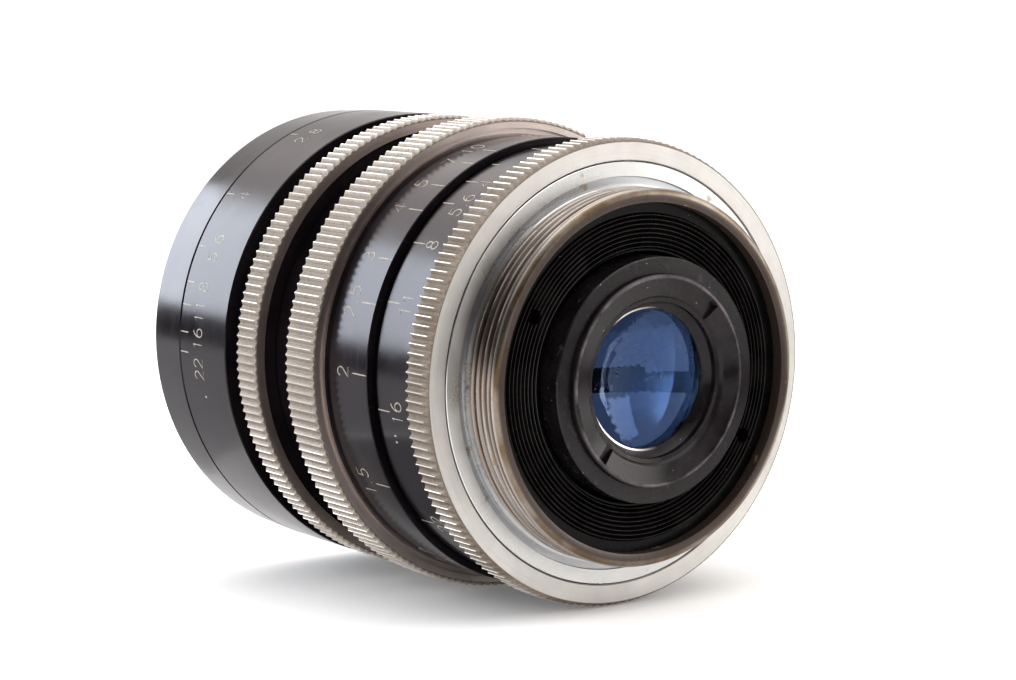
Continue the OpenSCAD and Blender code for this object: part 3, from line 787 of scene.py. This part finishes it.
def dress_nodes():
    """Every CAD node takes the material of its slot, except the baffle and three glasses."""
    shades = {
        "mount_plating": mount_plating(),
        "grip_plating": grip_plating(focus_r, "grip_plating", *SHADED_AND_DIRTY_FACE, grime=0.3),
        "black_lacquer": black_lacquer(),
        "matt_black": matt_black(),
        "grey_anodised": grey_anodised(),
        "brass": plain_metal("brass", (0.55, 0.40, 0.19, 1), (0.68, 0.52, 0.27, 1), 0.3,
                             blackened_r=23.4),
        "steel": plain_metal("steel", (0.45, 0.45, 0.45, 1), (0.6, 0.6, 0.6, 1), 0.3),
        "coated_glass": coated_glass(),
        "inner_glass": inner_glass(),
        "blade_steel": plain_metal("blade_steel", (0.05, 0.05, 0.055, 1), (0.09, 0.09, 0.1, 1), 0.4),
    }
    for part in frame["record"]["subparts"]:
        dress(nodes[part["node"]], shades[part["material_slot"]])
    dress(nodes["rear_baffle"], ribbed_black())
    for name in ("front_element", "second_element", "middle_element"):
        dress(nodes[name], shades["inner_glass"])
    return shades


# ---- Studio ----

def make_floor():
    """A pale sheet that the lens rests on, with a rim that rises far away on every side."""
    # The lens touches the floor with the mount ring and the focus grip, as (y, radius)
    rest = ((mount_rear + MOUNT_CHAMFER[1], mount_r), (focus_rear, focus_r))
    slope = (rest[1][1] - rest[0][1]) / (rest[1][0] - rest[0][0])
    flat, rim = 1.3, 0.5
    rings = [(r, 0) for r in (0.05, 0.4, 0.9, flat)]
    rings += [(flat + rim * math.sin(a), rim * (1 - math.cos(a)))
              for a in [math.radians(10 * i) for i in range(1, 8)]]
    turns = 96
    points = [Vector((0, 0, 0))]
    for r, lift in rings:
        for i in range(turns):
            a = math.tau * i / turns
            points.append(Vector((r * math.cos(a), r * math.sin(a), lift)))
    faces = [(0, 1 + i, 1 + (i + 1) % turns) for i in range(turns)]
    for j in range(len(rings) - 1):
        for i in range(turns):
            a, b = 1 + j * turns + i, 1 + j * turns + (i + 1) % turns
            faces.append((a, a + turns, b + turns, b))
    floor = new_mesh("floor", points, faces, 60)
    floor.location = Vector((0, rest[0][0], -rest[0][1])) * MM
    floor.rotation_euler = (-math.atan(slope), 0, 0)
    bpy.context.view_layer.update()
    dress(floor, studio_white())
    return floor


def area_light(name, place, aim, width, height, radiance, colour):
    """A soft panel at place, facing aim, both in metres; radiance is its brightness."""
    data = bpy.data.lights.new(name, "AREA")
    data.shape = "RECTANGLE"
    data.size = width
    data.size_y = height
    data.energy = radiance * math.pi * width * height
    data.color = colour
    lamp = bpy.data.objects.new(name, data)
    lamp.location = place
    lamp.rotation_euler = (Vector(aim) - Vector(place)).to_track_quat("-Z", "Y").to_euler()
    lamp.visible_camera = False
    bpy.context.scene.collection.objects.link(lamp)


def make_lights():
    world = bpy.data.worlds.new("studio")
    bpy.context.scene.world = world
    world.use_nodes = True
    surround = world.node_tree.nodes["Background"]
    surround.inputs["Color"].default_value = (1.0, 0.975, 0.955, 1)
    surround.inputs["Strength"].default_value = 0.85
    for panel in (
        # name, place, aim, width, height, radiance, colour
        ("top_panel", (0.1, -0.1, 0.95), (0, 0.02, 0), 1.0, 1.0, 1.3, (1, 0.99, 0.97)),
        ("window_panel", (-0.42, 0.85, 0.26), (0, 0.04, 0.01), 0.75, 0.46, 5.5, (0.84, 0.92, 1.0)),
        ("side_panel", (0.75, -0.42, 0.3), (0, 0, 0), 0.6, 0.5, 2.4, (1, 0.97, 0.94)),
        ("back_panel", (0.05, 0.78, 0.72), (0, 0.04, 0.01), 1.0, 0.5, 1.2, (1, 0.92, 0.87)),
    ):
        area_light(*panel)


def dark_strip(parent, name, inner, outer, azimuth_from, azimuth_to, shade):
    """A dark strip that only gloss sees: painted dark reflections on the lens, unseen by the camera
    and casting no shadow.

    inner and outer are (distance, height) in metres, measured from the floor's own centre.
    Azimuths are in degrees, counted from +Y towards +X."""
    count = 40
    points, faces = [], []
    for i in range(count + 1):
        a = math.radians(azimuth_from + (azimuth_to - azimuth_from) * i / count)
        for r, z in (inner, outer):
            points.append(Vector((r * math.sin(a), r * math.cos(a), z)))
    for i in range(count):
        faces.append((2 * i, 2 * i + 1, 2 * i + 3, 2 * i + 2))
    strip = new_mesh(name, points, faces)
    strip.matrix_world = parent.matrix_world
    for ray in ("camera", "diffuse", "transmission", "shadow", "volume_scatter"):
        setattr(strip, "visible_" + ray, False)
    s = Shader(name)
    colour = s.blend(s.noise(20), grey(shade), grey(shade * 1.5))
    dress(strip, s.surface(base_color=colour, roughness=0.9, specular_ior_level=0.1))


def make_strips(floor):
    # Painted dark reflections: strips that only gloss sees
    for strip in (
        # name, inner edge, outer edge, azimuth from and to, shade
        ("front_strip", (0.102, 0.001), (0.178, 0.001), 143, 200, 0.01),
        ("right_strip", (0.102, 0.001), (0.152, 0.001), 90, 143, 0.01),
        ("side_strip", (0.030, 0.0005), (0.075, 0.0005), -95, -33, 0.3),
        ("far_strip", (0.08, 0.0008), (0.45, 0.0008), -75, -12, 0.5),
        ("camera_card", (0.5, 0.01), (0.5, 0.36), 168, 250, 0.01),
        ("back_strip", (0.5, 0.002), (0.5, 0.072), -50, -12, 0.06),
    ):
        dark_strip(floor, *strip)


# Where the camera stands, fitted to the rims of eight rings: degrees, then mm from the aim
CAMERA_TURN = -35.97
CAMERA_TILT = 7.561
CAMERA_AIM_Y = 0.29
CAMERA_RIGHT = -12.396
CAMERA_UP = 3.759
CAMERA_BACK = 314.68


def make_camera():
    """The photograph's angle: a 100 mm lens on a 36 mm wide sensor."""
    turn, tilt = math.radians(CAMERA_TURN), math.radians(CAMERA_TILT)
    right = Vector((math.cos(turn), math.sin(turn), 0))
    back = Vector((math.sin(turn) * math.cos(tilt), -math.cos(turn) * math.cos(tilt), math.sin(tilt)))
    up = back.cross(right)
    aim = Vector((0, CAMERA_AIM_Y, 0))
    data = bpy.data.cameras.new("camera")
    data.lens = 100
    data.sensor_width = 36
    data.clip_start = 0.01
    data.clip_end = 20
    camera = bpy.data.objects.new("camera", data)
    place = (aim + CAMERA_RIGHT * right + CAMERA_UP * up + CAMERA_BACK * back) * MM
    camera.matrix_world = Matrix.Translation(place) @ Matrix((right, up, back)).transposed().to_4x4()
    bpy.context.scene.collection.objects.link(camera)
    bpy.context.scene.camera = camera


shades = dress_nodes()
dress(make_mount_ring(), grip_plating(mount_r, "mount_ring_plating", *BRIGHT_FACE, grime=1.0))
dress(make_focus_grip(), shades["grip_plating"])
dress(make_aperture_grip(), grip_plating(stop_r, "aperture_grip_plating", *SHADED_AND_DIRTY_FACE, grime=0.3))
dress(make_mount_flange(), shades["mount_plating"])
dress(make_rear_retaining_ring(), ring_black())
dress(make_doublet(), shades["inner_glass"])
paint = engraving_paint()
for figures in (make_aperture_figures(), make_distance_figures(), make_depth_figures()):
    dress(figures, paint)
make_strips(make_floor())
make_lights()
make_camera()
view = bpy.context.scene.view_settings
view.view_transform = "Standard"
view.look = "Medium High Contrast"
